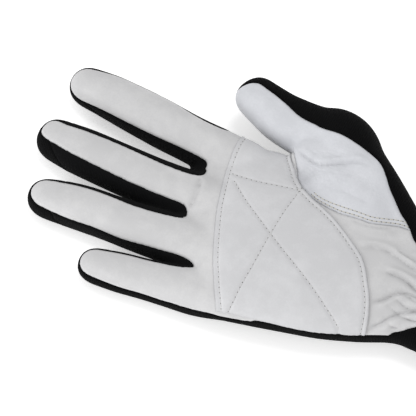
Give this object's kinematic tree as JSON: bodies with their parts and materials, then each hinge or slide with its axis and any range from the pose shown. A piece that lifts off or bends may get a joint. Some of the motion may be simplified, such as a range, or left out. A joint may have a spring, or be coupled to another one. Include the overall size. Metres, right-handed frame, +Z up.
{
  "type": "racing glove",
  "caption": "Right-hand racing glove lying palm up: white leather palm with a quilted patch, black knit back and finger sides, gathered wrist, open cuff.",
  "frame": {"origin": "on the resting plane under the middle of the palm, at the flat face of the glove's back", "axes": "+X towards the wrist and cuff, fingers towards -X, +Y towards the thumb, +Z up out of the palm"},
  "size_m": [0.2399, 0.1258, 0.035],
  "materials": {
    "white_leather": "soft matt white grain leather with a faint sheen",
    "patch_leather": "soft matt white grain leather, quilted with white thread",
    "black_knit": "fine matt black stretch knit",
    "cuff_knit": "fine matt black ribbed knit"
  },
  "bodies": {
    "root": {"palm_leather": "white_leather", "thumb_leather": "white_leather", "palm_patch": "patch_leather", "hand_back": "black_knit", "fourchette_index_middle": "black_knit", "fourchette_middle_ring": "black_knit", "fourchette_ring_little": "black_knit", "cuff": "cuff_knit"}
  },
  "joints": []
}
